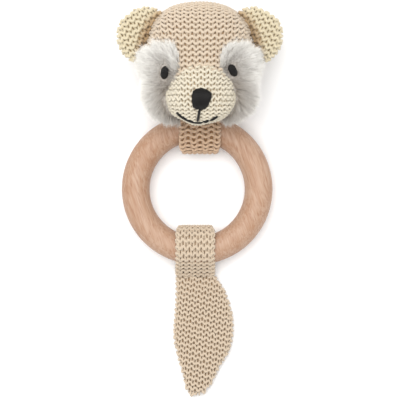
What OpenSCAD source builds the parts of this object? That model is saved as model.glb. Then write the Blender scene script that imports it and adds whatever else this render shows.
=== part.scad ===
// Baby rattle: a knitted, stuffed animal head and a knitted tail on a beech teething ring.
// It lies on its back: +Z comes out of the face, +Y points from the tail to the crown,
// and the origin is the middle of the underside of the whole toy.

/* [Teething ring] */
// Outer diameter of the beech ring
ring_outer_d = 70; // [66:1:72]
// Diameter of the ring's round section
ring_tube_d = 13; // [12:0.5:13]
// How far the ring's centre lies to the side of the face's centre line
ring_x = -1.2; // [-2:0.1:2]
// How far the ring's centre lies from the middle of the toy towards the crown
ring_y = 4.9; // [4:0.1:5.5]

/* [Knitted loops] */
// Thickness of the double knitted bands that go round the ring
band_t = 2.4; // [2:0.1:2.6]
// Running clearance between a band and the ring
loop_gap = 0.3; // [0.2:0.05:0.4]
// Width of the band under the chin
neck_band_w = 19.5; // [16:0.5:21]
// Width of the band that holds the tail
tail_band_w = 18.5; // [15:0.5:20]
// How far the middle of the tail's band lies to the side of the face's centre line
tail_band_x = -2.1; // [-4:0.1:1]
// Slack of a band where it spans the inside of the ring
band_slack = 2.4; // [1.6:0.1:3]

/* [Head] */
// Diameter of the stuffed head without its fur
head_d = 52; // [48:1:53]
// Distance from the middle of the toy to the top of the crown
crown_y = 91.9; // [91:0.1:95]
// Thickness of the knitted head panels
panel_t = 2.2; // [1.6:0.1:2.6]
// Length of the pile of the fur patches
pile = 4; // [3:0.5:4.5]

/* [Ears] */
// Diameter of an ear
ear_d = 27.6; // [22:0.2:30]
// Distance from the centre line to the middle of an ear
ear_x = 25; // [23:0.5:27]
// Distance from the middle of the toy to the middle of an ear
ear_y = 75.6; // [72:0.2:78]
// Thickness of an ear
ear_t = 11; // [8:0.5:12]

/* [Muzzle] */
// Width of the muzzle
muzzle_w = 33.4; // [28:0.2:35]
// Height of the muzzle from chin to bridge
muzzle_h = 27.2; // [24:0.2:29]
// Depth of the muzzle's whole ball, part of which is sunk in the head
muzzle_d = 32; // [28:0.5:34]
// Thickness of the embroidered nose
nose_t = 1.3; // [0.8:0.1:1.6]
// Width of the mouth's thread
thread_w = 0.9; // [0.6:0.1:1.2]

/* [Rattle capsule] */
// Outer diameter of the capsule
capsule_d = 22; // [20:0.5:26]
// Wall of the capsule
capsule_t = 1.2; // [1:0.1:1.5]
// Diameter of a pellet
pellet_d = 3.4; // [2.6:0.1:3.6]
// Pellets round the one in the middle
pellet_count = 5; // [3:1:5]

/* [Tail] */
// Distance from the middle of the toy to the tip of the tail
tail_tip_y = 91.9; // [88:0.1:95]
// Thickness of the tail's blade
tail_t = 6.4; // [5:0.1:7]
// Distance from the middle of the toy to the seam that the tail hangs from
seam_y = 34.6; // [34:0.1:36]

/* [Hidden] */
$fn = 72;
eps = 0.05;
far = 200;

tube_r = ring_tube_d / 2;
ring_mid_r = ring_outer_d / 2 - tube_r;
bore_r = tube_r + loop_gap;
loop_r = bore_r + band_t;
ring_z = loop_r;
neck_tube_y = ring_y + ring_mid_r;
tail_tube_y = ring_y - ring_mid_r;

head_r = head_d / 2;
head_c = [0, crown_y - head_r, head_r];
// The head is sewn to its band on the line from the ring's section to the head's centre.
neck_dir = atan2(head_c[2] - ring_z, head_c[1] - neck_tube_y);
neck_pivot_r = loop_r + 0.5;
neck_stitches = 7;
stitch_r = 0.45;

muzzle_c = [0.6, 47.9, 40];
muzzle_semi = [muzzle_w / 2, muzzle_h / 2, muzzle_d / 2];
nose_c = [0.9, 46.7];
mouth_c = [-0.3, 49.5];
mouth_r = 13.7;
eye_semi = [1.9, 3];
eyes = [[-16.2, 59, -8], [15.2, 60, 28]];
eye_t = 1.6;
eye_hole = 0.5;
fur_eye_c = [17.5, 61.5];
fur_eye_r = 13;
cheek_c = [12.5, 49.5, 33];
cheek_r = 16;
cheek_gap = 4;
fur_gap = 0.12;
fur_fn = 48;

// The band is sewn flat at the seam, and the tail flaps on that line.
pinch_r = 1.5;
pinch_gap = 0.6;
flap_z = tail_t / 2;
tail_axis = [-seam_y, flap_z];
tail_stitches = 6;
wadding_t = 2;
wadding_share = 0.72;
tail_mid = [1.5, -62];

// Outline of the tail's blade, from the band's left edge round the tip to its right edge.
tail_outline = [
    [-11.3, -seam_y], [-11.4, -47], [-12.3, -63], [-10.6, -72.5], [-8, -82],
    [-6.6, -88], [-2.4, -tail_tip_y], [2.6, -89.6], [6.6, -84], [9.4, -77.6],
    [13.6, -71], [15.7, -61], [14.7, -51], [11.8, -42.4], [7.2, -seam_y]];

// A ball stretched to three half lengths
module ellipsoid(centre, semi) translate(centre) scale(semi) sphere(r = 1);

module head_ball(grow = 0) translate(head_c) sphere(r = head_r + grow);

module muzzle_ball(grow = 0) ellipsoid(muzzle_c, muzzle_semi + grow * [1, 1, 1]);

// Half of space on one side of a plane across one axis
module half_space(axis, level, side) {
    centre = [for (i = [0:2]) i == axis ? level + side * far / 2 : 0];
    translate(centre) cube(far, center = true);
}

// A profile drawn in Y and Z, drawn out along X to a width
module across(width, middle = 0)
    translate([middle - width / 2, 0, 0])
        rotate([90, 0, 90])
            linear_extrude(width) children();

module ring_solid(section_r)
    translate([ring_x, ring_y, ring_z])
        rotate_extrude($fn = 144)
            translate([ring_mid_r, 0]) circle(r = section_r);

// The band or skin stretched round a row of circles, each [y, z, r]
module chain(circles) hull() for (c = circles) translate([c[0], c[1]]) circle(r = c[2]);

// Catmull-Rom curve through a list of points
function curve_point(p, i, t) =
    let (n = len(p),
         a = p[max(i - 1, 0)], b = p[i], c = p[min(i + 1, n - 1)], d = p[min(i + 2, n - 1)])
    0.5 * (2 * b + (c - a) * t + (2 * a - 5 * b + 4 * c - d) * t * t
        + (3 * b - a - 3 * c + d) * t * t * t);
function curve(p, steps) =
    [for (i = [0:len(p) - 2], s = [0:steps - 1]) curve_point(p, i, s / steps), p[len(p) - 1]];

// ---- ring and its two loops ----

module beech_ring() color("#d8ab8c") ring_solid(tube_r);

module neck_loop()
    color("#c9a684")
        difference() {
            across(neck_band_w)
                chain([[neck_tube_y - band_slack, ring_z, loop_r], [neck_tube_y, ring_z, loop_r]]);
            ring_solid(bore_r);
        }

// Short whip stitches in a row across a band
module stitch_row(count, width, middle, y, z) {
    pitch = width / count;
    for (i = [0:count - 1])
        translate([middle - width / 2 + (i + 0.5) * pitch, y, z])
            rotate([0, 90, 0])
                cylinder(r = stitch_r, h = 0.7 * pitch, center = true, $fn = 24);
}

module neck_seam_thread()
    color("#d9c3a4")
        stitch_row(neck_stitches, neck_band_w - 1, 0,
            neck_tube_y + neck_pivot_r * cos(neck_dir), ring_z + neck_pivot_r * sin(neck_dir));

module tail_loop()
    color("#e0cbb0")
        difference() {
            across(tail_band_w, tail_band_x)
                chain([
                    [tail_tube_y + band_slack, ring_z, loop_r],
                    [tail_tube_y, ring_z, loop_r],
                    [tail_axis[0] + pinch_r + pinch_gap, tail_axis[1], pinch_r]]);
            ring_solid(bore_r);
        }

module tail_seam_thread()
    color("#b39a78")
        stitch_row(tail_stitches, tail_band_w - 1, tail_band_x, tail_axis[0], tail_axis[1]);

// ---- head ----

module head_shell(side)
    intersection() {
        difference() {
            head_ball();
            head_ball(-panel_t);
        }
        half_space(2, head_c[2] + side * eps / 2, side);
    }

module head_front_panel() color("#ead3bb") head_shell(1);

module head_back_panel() color("#ead3bb") head_shell(-1);

module head_stuffing()
    color("#f4f2ec")
        difference() {
            head_ball(-panel_t - eps);
            translate(head_c) sphere(d = capsule_d + 2 * eps);
        }

module muzzle_cover()
    color("#efe4cb")
        difference() {
            muzzle_ball();
            muzzle_ball(-panel_t);
            head_ball(eps);
        }

module muzzle_stuffing()
    color("#f4f2ec")
        difference() {
            muzzle_ball(-panel_t - eps);
            head_ball(eps);
        }

// hand is -1 for the left ear and 1 for the right one
module ear_ball(hand, grow = 0)
    ellipsoid([hand * ear_x, ear_y, head_c[2]], [ear_d, ear_d, ear_t] / 2 + grow * [1, 1, 1]);

// One knitted layer of an ear; side is 1 for its front and -1 for its back
module ear_panel(hand, side)
    color("#efe2c4")
        intersection() {
            difference() {
                ear_ball(hand);
                ear_ball(hand, -panel_t);
                head_ball(eps);
            }
            half_space(2, head_c[2] + side * eps / 2, side);
        }

module left_ear_front_panel() ear_panel(-1, 1);

module left_ear_back_panel() ear_panel(-1, -1);

module right_ear_front_panel() ear_panel(1, 1);

module right_ear_back_panel() ear_panel(1, -1);

module eye_column(eye, grow = 0)
    translate([eye[0], eye[1], head_c[2]])
        rotate([0, 0, eye[2]])
            scale([eye_semi[0] + grow, eye_semi[1] + grow, 1])
                cylinder(r = 1, h = head_d);

// Fur round one eye and over the cheek below it
module fur_patch(hand, eye, $fn = fur_fn)
    color("#d6d3ce")
        difference() {
            union() {
                intersection() {
                    head_ball(pile);
                    translate([hand * fur_eye_c[0], fur_eye_c[1], head_c[2]])
                        cylinder(r = fur_eye_r, h = head_d);
                }
                intersection() {
                    translate([hand * cheek_c[0], cheek_c[1], cheek_c[2]]) sphere(r = cheek_r);
                    half_space(0, hand * cheek_gap, hand);
                }
            }
            head_ball(fur_gap);
            muzzle_ball(fur_gap);
            ear_ball(hand, fur_gap);
            eye_column(eye, eye_hole);
        }

module left_fur_patch() fur_patch(-1, eyes[0]);

module right_fur_patch() fur_patch(1, eyes[1]);

module eye_pad(eye)
    color("#1d1b1e")
        intersection() {
            difference() {
                head_ball(eye_t);
                head_ball(eps);
            }
            eye_column(eye);
        }

module left_eye() eye_pad(eyes[0]);

module right_eye() eye_pad(eyes[1]);

// A layer that lies on the muzzle, as thick as it is told, where the outline covers it
module on_muzzle(thickness)
    intersection() {
        difference() {
            muzzle_ball(thickness);
            muzzle_ball(eps);
        }
        translate([0, 0, muzzle_c[2]]) linear_extrude(muzzle_d) children();
    }

module nose()
    color("#1d1b1e")
        on_muzzle(nose_t)
            translate(nose_c)
                hull() {
                    translate([0, 2]) circle(r = 2.9, $fn = 32);
                    for (side = [-1, 1]) translate([side * 2.9, 1.4]) circle(r = 1.8, $fn = 32);
                    translate([-0.5, -2.6]) circle(r = 2.4, $fn = 32);
                }

// The stem under the nose and the smile
module mouth_stitches()
    color("#1d1b1e")
        on_muzzle(thread_w) {
            intersection() {
                translate(mouth_c)
                    difference() {
                        circle(r = mouth_r + thread_w / 2);
                        circle(r = mouth_r - thread_w / 2);
                    }
                translate(mouth_c) polygon([[0, 0], [-16, -14], [0, -24], [14, -17]]);
            }
            translate([-0.6, 36.6]) rotate(-11) square([thread_w, 4.6]);
        }

// ---- rattle capsule ----

module capsule_shell(side)
    color("#f2f2f0")
        intersection() {
            translate(head_c)
                difference() {
                    sphere(d = capsule_d);
                    sphere(d = capsule_d - 2 * capsule_t);
                }
            half_space(2, head_c[2] + side * eps / 2, side);
        }

module capsule_front_shell() capsule_shell(1);

module capsule_back_shell() capsule_shell(-1);

// Loose balls lying in the back of the capsule, one in the middle and the rest round it
module rattle_pellets() {
    reach = capsule_d / 2 - capsule_t - pellet_d / 2 - eps;
    round_r = 1.06 * pellet_d;
    color("#b9bcc0")
        translate(head_c) {
            translate([0, 0, -reach]) sphere(d = pellet_d);
            for (i = [0:pellet_count - 1])
                rotate([0, 0, i * 360 / pellet_count])
                    translate([round_r, 0, -sqrt(reach * reach - round_r * round_r)])
                        sphere(d = pellet_d);
        }
}

// ---- tail ----

module blade_outline() polygon(curve(tail_outline, 6));

// Side view of the blade: thin at the seam and at the tip, and plump between them
module blade_side() {
    full_r = tail_t / 2;
    chain([
        [tail_axis[0] - pinch_r - pinch_gap, flap_z, pinch_r],
        [-46, flap_z, full_r],
        [-78, flap_z, full_r],
        [2 - tail_tip_y, flap_z, 2]]);
}

module wadding_solid(grow = 0)
    translate([tail_mid[0], tail_mid[1], flap_z - wadding_t / 2 - grow])
        linear_extrude(wadding_t + 2 * grow)
            offset(delta = grow)
                scale(wadding_share) translate(-tail_mid) blade_outline();

module tail_panel(side)
    color("#e0cbb0")
        difference() {
            intersection() {
                linear_extrude(tail_t) blade_outline();
                across(far) blade_side();
                half_space(2, flap_z + side * eps / 2, side);
            }
            wadding_solid(eps);
        }

module tail_front_panel() tail_panel(1);

module tail_back_panel() tail_panel(-1);

module tail_wadding() color("#f4f2ec") wadding_solid();

neck_loop();
neck_seam_thread();
beech_ring();
head_front_panel();
head_back_panel();
head_stuffing();
muzzle_cover();
muzzle_stuffing();
left_ear_front_panel();
left_ear_back_panel();
right_ear_front_panel();
right_ear_back_panel();
left_fur_patch();
right_fur_patch();
left_eye();
right_eye();
nose();
mouth_stitches();
capsule_front_shell();
capsule_back_shell();
rattle_pellets();
tail_loop();
tail_seam_thread();
tail_front_panel();
tail_back_panel();
tail_wadding();
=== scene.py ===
"""Looks of a knitted baby rattle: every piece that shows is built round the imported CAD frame.

Shapes are worked out in millimetres and scaled to metres when a mesh is made. The toy lies on its
back: +Z comes out of the face, and +Y points from the tail to the crown.
"""

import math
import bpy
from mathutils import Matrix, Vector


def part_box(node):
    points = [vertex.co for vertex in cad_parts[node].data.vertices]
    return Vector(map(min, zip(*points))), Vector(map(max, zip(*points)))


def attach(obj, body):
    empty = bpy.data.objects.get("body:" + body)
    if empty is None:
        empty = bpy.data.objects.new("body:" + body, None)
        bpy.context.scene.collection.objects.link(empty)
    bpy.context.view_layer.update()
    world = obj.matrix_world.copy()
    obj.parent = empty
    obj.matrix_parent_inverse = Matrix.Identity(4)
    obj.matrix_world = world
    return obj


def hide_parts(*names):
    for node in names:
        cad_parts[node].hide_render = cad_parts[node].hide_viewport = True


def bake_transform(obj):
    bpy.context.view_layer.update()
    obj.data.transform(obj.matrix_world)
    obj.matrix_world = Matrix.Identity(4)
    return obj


bl_info = {
    "name": "Knitted Baby Rattle",
    "version": (1, 0, 0),
    "blender": (4, 5, 0),
    "location": "3D View > Sidebar > Rattle",
    "description": "Builds the knitted, furry and wooden pieces of a baby rattle on its CAD frame",
    "category": "Add Mesh",
}

import bpy
import numpy as np
from bpy.props import FloatProperty, FloatVectorProperty, IntProperty, PointerProperty

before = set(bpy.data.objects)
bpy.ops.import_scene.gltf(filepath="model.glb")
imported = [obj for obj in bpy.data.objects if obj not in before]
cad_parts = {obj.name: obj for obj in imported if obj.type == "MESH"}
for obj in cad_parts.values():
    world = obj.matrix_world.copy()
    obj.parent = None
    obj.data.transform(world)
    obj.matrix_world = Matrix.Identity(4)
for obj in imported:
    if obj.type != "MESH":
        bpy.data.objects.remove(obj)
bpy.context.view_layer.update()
MM = 0.001
TURN = 2 * math.pi


def node_box(node):
    """Lowest and highest corners of a CAD node, in millimetres."""
    low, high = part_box(node)
    return np.array(low) / MM, np.array(high) / MM


def node_span(node, level):
    """Lowest and highest x of a CAD node's section at one level of y, in millimetres."""
    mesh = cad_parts[node].data
    points = np.zeros(len(mesh.vertices) * 3)
    ends = np.zeros(len(mesh.edges) * 2, int)
    mesh.vertices.foreach_get("co", points)
    mesh.edges.foreach_get("vertices", ends)
    a, b = (points.reshape(-1, 3)[ends.reshape(-1, 2)] / MM).transpose(1, 0, 2)
    crossing = (a[:, 1] - level) * (b[:, 1] - level) < 0
    a, b = a[crossing], b[crossing]
    share = (level - a[:, 1]) / (b[:, 1] - a[:, 1])
    cut = a[:, 0] + share * (b - a)[:, 0]
    return cut.min(), cut.max()


# ---- places, from the frame ----

RING_LOW, RING_HIGH = node_box("beech_ring")
RING_C = (RING_LOW + RING_HIGH) / 2
TUBE_R = (RING_HIGH - RING_LOW)[2] / 2
RING_MID_R = (RING_HIGH - RING_LOW)[0] / 2 - TUBE_R

HEAD_LOW, HEAD_HIGH = node_box("head_front_panel")
HEAD_R = (HEAD_HIGH - HEAD_LOW)[1] / 2
HEAD_C = np.array([(HEAD_LOW + HEAD_HIGH)[0] / 2, HEAD_HIGH[1] - HEAD_R, HEAD_HIGH[2] - HEAD_R])

MUZZLE_LOW, MUZZLE_HIGH = node_box("muzzle_cover")
MUZZLE_SEMI = np.array([(MUZZLE_HIGH - MUZZLE_LOW)[0] / 2, 13.6, 16.0])
MUZZLE_C = np.array([
    (MUZZLE_LOW + MUZZLE_HIGH)[0] / 2,
    MUZZLE_LOW[1] + MUZZLE_SEMI[1],
    MUZZLE_HIGH[2] - MUZZLE_SEMI[2],
])

EAR_LOW, EAR_HIGH = node_box("right_ear_front_panel")
EAR_R = 13.8
EAR_T = (EAR_HIGH - EAR_LOW)[2]
EAR_C = np.array([EAR_HIGH[0] - EAR_R, EAR_HIGH[1] - EAR_R, HEAD_C[2]])

NECK_LOW, NECK_HIGH = node_box("neck_loop")
TAIL_LOOP_LOW, TAIL_LOOP_HIGH = node_box("tail_loop")
BLADE_LOW, BLADE_HIGH = node_box("tail_front_panel")
SEAM_Y = BLADE_HIGH[1] + 0.6


# ---- sizes and colours that a user would change ----


def linear(code):
    """Linear RGBA of an sRGB hex colour."""
    channels = [int(code[i : i + 2], 16) / 255 for i in (1, 3, 5)]
    return (*[c / 12.92 if c <= 0.04045 else ((c + 0.055) / 1.055) ** 2.4 for c in channels], 1.0)


def length(name, description, millimetres):
    return FloatProperty(name=name, description=description, default=millimetres * MM, unit="LENGTH")


def colour(name, description, code):
    return FloatVectorProperty(
        name=name, description=description, default=linear(code), size=4, min=0, max=1, subtype="COLOR"
    )


class RattleKnit(bpy.types.PropertyGroup):
    head_wale: length("Head stitch width", "Width of a stitch on the head", 3.5)
    head_course: length("Head stitch height", "Height of a row on the head", 2.6)
    muzzle_wale: length("Muzzle stitch width", "Width of a stitch on the muzzle", 3.3)
    muzzle_course: length("Muzzle stitch height", "Height of a row on the muzzle", 2.4)
    ear_wale: length("Ear stitch width", "Width of a stitch on the ears", 3.2)
    ear_course: length("Ear stitch height", "Height of a row on the ears", 2.7)
    neck_wale: length("Neck stitch width", "Width of a stitch on the band under the chin", 5.2)
    neck_course: length("Neck stitch height", "Height of a row on the band under the chin", 2.2)
    tail_wale: length("Tail stitch width", "Width of a stitch on the tail", 2.75)
    tail_course: length("Tail stitch height", "Height of a row on the tail's blade", 2.4)
    loop_course: length("Loop stitch height", "Height of a row on the tail's band", 2.95)
    peach: colour("Head yarn", "Peach yarn of the head", "#cab9a3")
    cream: colour("Muzzle yarn", "Cream yarn of the muzzle", "#d2c9b5")
    straw: colour("Ear yarn", "Straw yarn of the ears", "#cfc3a6")
    # The ear crease colour is painted shade for the groove where the ears meet the head.
    crease: colour("Ear crease", "Browner tone of the ears' yarn beside the head", "#a9875c")
    tan: colour("Neck yarn", "Tan yarn of the band under the chin", "#c5a78a")
    beige: colour("Tail yarn", "Beige yarn of the tail", "#c7b59e")


class RattleTrim(bpy.types.PropertyGroup):
    pile: length("Pile", "Length of the fur's guard hairs", 6.0)
    hairs: IntProperty(
        name="Hairs", description="Hairs on each fur patch", default=22000, min=1000, max=24000
    )
    fur_tip: colour("Fur tips", "Colour of the pile at its tips", "#f7f5f0")
    fur_root: colour("Fur roots", "Colour of the pile at its roots", "#8f8478")
    floss: colour("Floss", "Black embroidery floss of the nose, eyes and mouth", "#0e0c0b")
    beech: colour("Beech", "Pale wood of the teething ring", "#b59781")
    beech_pore: colour("Beech pores", "Dark flecks in the wood", "#8d6248")


class RattleStage(bpy.types.PropertyGroup):
    floor: colour("Floor", "Matt paint of the studio floor", "#fbfbfb")
    key_power: FloatProperty(
        name="Soft light", description="Power of the overhead light", default=26, unit="POWER"
    )
    sky: FloatProperty(
        name="Fill", description="Strength of the even light from all sides", default=0.80, min=0
    )
    view_width: length("View width", "Width that the camera sees at the ring", 185.7)


# ---- small tools ----


def norm(vectors):
    """Lengths of vectors."""
    return np.linalg.norm(vectors, axis=-1)


def running(steps):
    """0, then the running totals of some steps."""
    return np.concatenate([[0], np.cumsum(steps)])


def unit(vectors):
    """Vectors at length 1."""
    return vectors / np.maximum(np.linalg.norm(vectors, axis=-1, keepdims=True), 1e-9)


def smoothstep(low, high, value):
    """0 below low, 1 above high, and smooth between them."""
    share = np.clip((np.asarray(value, float) - low) / (high - low), 0, 1)
    return share * share * (3 - 2 * share)


def lumps(points, size, depth, seed):
    """Smooth swellings of stuffed cloth, about size apart: a few waves in seeded directions."""
    rng = np.random.default_rng(seed)
    waves = 6
    total = np.zeros(points.shape[:-1])
    for _ in range(waves):
        direction = unit(rng.normal(size=3)) * rng.uniform(0.7, 1.3) * TURN / size
        total += np.sin(points @ direction + rng.uniform(0, TURN))
    return depth * total / math.sqrt(waves)


def directions(turns, polar, side=1):
    """Directions from a ball's middle: a row for each polar angle, and a column for each turn round it."""
    turn = np.linspace(0, TURN, turns + 1)[:-1]
    polar = polar[:, None]
    level = np.sin(polar)
    return np.stack([level * np.cos(turn), level * np.sin(turn), side * np.cos(polar) + 0 * turn], -1)


def runs(keep, shortest=5):
    """Slices of neighbouring True values, each at least shortest long."""
    edges = np.flatnonzero(np.diff(np.concatenate([[0], keep.astype(int), [0]])))
    return [slice(a, b) for a, b in zip(edges[::2], edges[1::2]) if b - a >= shortest]


def inside(outline, x, y):
    """True where (x, y) lies in a closed outline."""
    hit = np.zeros(np.shape(x), bool)
    for (x1, y1), (x2, y2) in zip(outline, np.roll(outline, -1, axis=0)):
        crosses = (y1 > y) != (y2 > y)
        hit ^= crosses & (x < (x2 - x1) * (y - y1) / (y2 - y1 + 1e-12) + x1)
    return hit


def cells(rows, columns, wrap_rows=False, wrap_columns=False):
    """The four corners of each cell of a grid of points, with the cells' rows and columns."""
    i = np.arange(rows if wrap_rows else rows - 1)[:, None]
    j = np.arange(columns if wrap_columns else columns - 1)[None, :]
    here, after, beside = i * columns, (i + 1) % rows * columns, (j + 1) % columns
    return np.stack([here + j, here + beside, after + beside, after + j], -1), i, j


class Draft:
    """Points, faces and UVs of one piece, gathered in millimetres until its mesh is made."""

    def __init__(self):
        self.points, self.faces, self.uvs, self.slots = [], [], [], []
        self.count = 0

    def add(self, points, faces, uvs=None, slot=0):
        """Adds points and faces with equal numbers of corners; uvs has one row per corner."""
        if uvs is None:
            uvs = np.zeros((faces.size, 2))
        self.points.append(points)
        self.faces.append(faces + self.count)
        self.uvs.append(uvs)
        self.slots.append(np.full(len(faces), slot))
        self.count += len(points)

    def grid(self, points, wrap=False, slot=0):
        """Adds a sheet of quads through a (rows, columns, 3) array, joined round its columns by wrap."""
        quads, _, _ = cells(*points.shape[:2], wrap_columns=wrap)
        self.add(points.reshape(-1, 3), quads.reshape(-1, 4), slot=slot)

    def tube(self, line, outward, radius, sides=8, flat=1.0, closed=False, slot=0):
        """Adds a yarn or thread along a line; outward is the way the cloth faces at each point.

        flat presses it thinner across the cloth. Its UVs are millimetres along and turns round it.
        """
        count = len(line)
        if closed:
            tangent = np.roll(line, -1, axis=0) - np.roll(line, 1, axis=0)
        else:
            tangent = np.gradient(line, axis=0)
        tangent = unit(tangent)
        side = unit(np.cross(tangent, outward))
        up = np.cross(side, tangent)
        radius = np.broadcast_to(np.asarray(radius, float), (count,)).copy()
        if not closed:
            radius[[0, -1]] *= 0.45
            radius[[1, -2]] *= 0.85
        turn = np.arange(sides) * TURN / sides
        ring = flat * np.cos(turn)[:, None] * up[:, None] + np.sin(turn)[:, None] * side[:, None]
        points = line[:, None] + radius[:, None, None] * ring
        quads, i, j = cells(count, sides, wrap_rows=closed, wrap_columns=True)
        along = running(norm(np.diff(line, axis=0)))
        step = np.append(along, along[-1] + along[1])
        here, there, low, high = np.broadcast_arrays(step[i], step[i + 1], j / sides, (j + 1) / sides)
        uvs = np.stack([here, low, here, high, there, high, there, low], -1)
        self.add(points.reshape(-1, 3), quads.reshape(-1, 4), uvs.reshape(-1, 2), slot)
        if not closed:
            ends = np.stack([np.arange(sides)[::-1], (count - 1) * sides + np.arange(sides)])
            self.faces.append(ends + self.count - count * sides)
            self.uvs.append(np.repeat([[along[0], 0.0], [along[-1], 0.0]], sides, axis=0))
            self.slots.append(np.full(2, slot))

    def piece(self, name, materials, slot, body, replaces=()):
        """Makes the piece's mesh and object, and ties it to its body and CAD nodes if it has them; slot is
        not used.
        """
        mesh = bpy.data.meshes.new(name)
        corners = np.concatenate([f.ravel() for f in self.faces])
        sizes = np.concatenate([np.full(len(f), f.shape[1]) for f in self.faces])
        mesh.vertices.add(self.count)
        mesh.vertices.foreach_set("co", (np.concatenate(self.points) * MM).ravel())
        mesh.loops.add(len(corners))
        mesh.loops.foreach_set("vertex_index", corners)
        mesh.polygons.add(len(sizes))
        mesh.polygons.foreach_set("loop_start", running(sizes)[:-1])
        mesh.polygons.foreach_set("material_index", np.concatenate(self.slots))
        mesh.update(calc_edges=True)
        mesh.shade_smooth()
        layer = mesh.uv_layers.new(name="yarn")
        layer.data.foreach_set("uv", np.concatenate(self.uvs).ravel())
        mesh.validate()
        for material in materials:
            mesh.materials.append(material)
        made = bpy.data.objects.new(name, mesh)
        bpy.context.scene.collection.objects.link(made)
        if body:
            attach(made, body)
        if replaces:
            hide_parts(*replaces)
        return made


# ---- materials ----


def add(tree, kind, settings=(), links=()):
    """Adds a shader node, sets its properties, ramp stops and input values, and links its inputs.

    A link comes from a socket, or from a node's first output.
    """
    made = tree.nodes.new("ShaderNode" + kind)
    for key, value in dict(settings).items():
        if key == "stops":
            stops = made.color_ramp.elements
            while len(stops) < len(value):
                stops.new(1.0)
            for stop, (position, tint) in zip(stops, value):
                stop.position, stop.color = position, tint
        elif isinstance(key, str) and hasattr(made, key):
            setattr(made, key, value)
        else:
            made.inputs[key].default_value = value
    for key, source in dict(links).items():
        tree.links.new(getattr(source, "outputs", [source])[0], made.inputs[key])
    return made


def finish_of(name, shader):
    """A new material with its Principled shader set, and its node tree."""
    material = bpy.data.materials.new(name)
    material.use_nodes = True
    for key, value in shader.items():
        material.node_tree.nodes["Principled BSDF"].inputs[key].default_value = value
    return material, material.node_tree


def dressed(material, tint, bump=None):
    """The material, with a colour and a bump linked to its shader."""
    tree = material.node_tree
    inputs = tree.nodes["Principled BSDF"].inputs
    tree.links.new(tint, inputs["Base Color"])
    if bump:
        tree.links.new(bump.outputs[0], inputs["Normal"])
    return material


def yarn_axes(tree):
    """Outputs of a yarn's UV map: millimetres along it, and turns round it."""
    uv = add(tree, "UVMap", {"uv_map": "yarn"})
    return add(tree, "SeparateXYZ", links={0: uv}).outputs


def spun_yarn(name, light, ply_mm=1.5, plies=3, crease=None):
    """Soft spun cotton yarn of a few plies: matt, a little fuzzy, with a twist that catches the light and
    painted shade in the grooves of the twist.

    crease is a painted shade: a browner colour laid on the yarn near the head's side, where the ears are
    sewn on and the groove lies in shade.
    """
    soft = {"Roughness": 0.9, "Sheen Weight": 0.25, "Sheen Roughness": 0.6}
    material, tree = finish_of(name, soft)
    light = tuple(light)
    # deep is the yarn's colour darkened: painted shade where the ply pattern dips into the twist's grooves,
    # and random darker fibres and mottling where the noise is low.
    deep = tuple(c * d for c, d in zip(light, (0.62, 0.55, 0.46, 1.0)))
    axes = yarn_axes(tree)
    along = add(tree, "Math", {"operation": "MULTIPLY", 1: math.pi / ply_mm}, {0: axes[0]})
    turned = add(tree, "Math", {"operation": "MULTIPLY", 1: math.pi * plies}, {0: axes[1]})
    twist = add(tree, "Math", {"operation": "ADD"}, {0: along, 1: turned})
    wave = add(tree, "Math", {"operation": "SINE"}, {0: twist})
    ply = add(tree, "Math", {"operation": "ABSOLUTE"}, {0: wave})
    place = add(tree, "TexCoord").outputs["Object"]
    # Single fibres are about 0.02 mm; these are drawn ten times as coarse so that they show.
    fibre = add(tree, "TexNoise", {"Scale": 1 / (0.2 * MM), "Detail": 3.0}, {"Vector": place})
    mottle = add(tree, "TexNoise", {"Scale": 1 / (6 * MM), "Detail": 2.0}, {"Vector": place})
    tone = add(tree, "Math", {"operation": "MULTIPLY_ADD", 1: 0.45, 2: 0.1}, {0: fibre})
    for part, strength in ((ply, 0.5), (mottle, 0.35)):
        tone = add(tree, "Math", {"operation": "MULTIPLY_ADD", 1: strength}, {0: part, 2: tone})
    ramp = add(tree, "ValToRGB", {"stops": [(0.1, deep), (0.75, light)]}, {"Fac": tone})
    height = add(tree, "Math", {"operation": "MULTIPLY_ADD", 1: 0.35}, {0: fibre, 2: ply})
    bump = add(tree, "Bump", {"Strength": 0.7, "Distance": 0.15 * MM}, {"Height": height})
    shown = ramp.outputs["Color"]
    # Painted shade: beside the head the ear's yarn turns to the crease colour, for the shaded groove where
    # the ear is sewn on.
    if crease is not None:
        level = {"Location": tuple(-HEAD_C * MM * np.array([1, 1, 0])), "Scale": (1.0, 1.0, 0.0)}
        across = add(tree, "Mapping", level, {"Vector": place})
        gap = add(tree, "VectorMath", {"operation": "LENGTH"}, {0: across})
        near, far = (HEAD_R + 0.5) * MM, (HEAD_R + 5.5) * MM
        fade = {"interpolation_type": "SMOOTHSTEP", 1: near, 2: far, 3: 0.85, 4: 0.0}
        share = add(tree, "MapRange", fade, {0: gap.outputs["Value"]})
        mixed = add(tree, "Mix", {"data_type": "RGBA", 7: tuple(crease)}, {0: share, 6: shown})
        shown = mixed.outputs[2]
    return dressed(material, shown, bump)


def mottled(name, light, deep, grain_mm, shader, bump_mm=0.1):
    """A material whose colour and surface vary with one grain size, such as fibre fill or moulding."""
    material, tree = finish_of(name, shader)
    place = add(tree, "TexCoord").outputs["Object"]
    grain = add(tree, "TexNoise", {"Scale": 1 / (grain_mm * MM), "Detail": 4.0}, {"Vector": place})
    ramp = add(tree, "ValToRGB", {"stops": [(0.3, deep), (0.7, light)]}, {"Fac": grain})
    bump = add(tree, "Bump", {"Strength": 0.6, "Distance": bump_mm * MM}, {"Height": grain})
    return dressed(material, ramp.outputs["Color"], bump)


def painted_shade_cloth(name, light, shade):
    """A sheet under the knit, coloured as painted shade for its holes: the yarn's colour, deeper, warmer and
    matt.
    """
    deep = tuple(c * d * shade for c, d in zip(light, (1.0, 0.8, 0.6))) + (1.0,)
    paler = tuple(1.3 * c for c in deep[:3]) + (1.0,)
    return mottled(name, paler, deep, 0.8, {"Roughness": 0.95})


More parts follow.
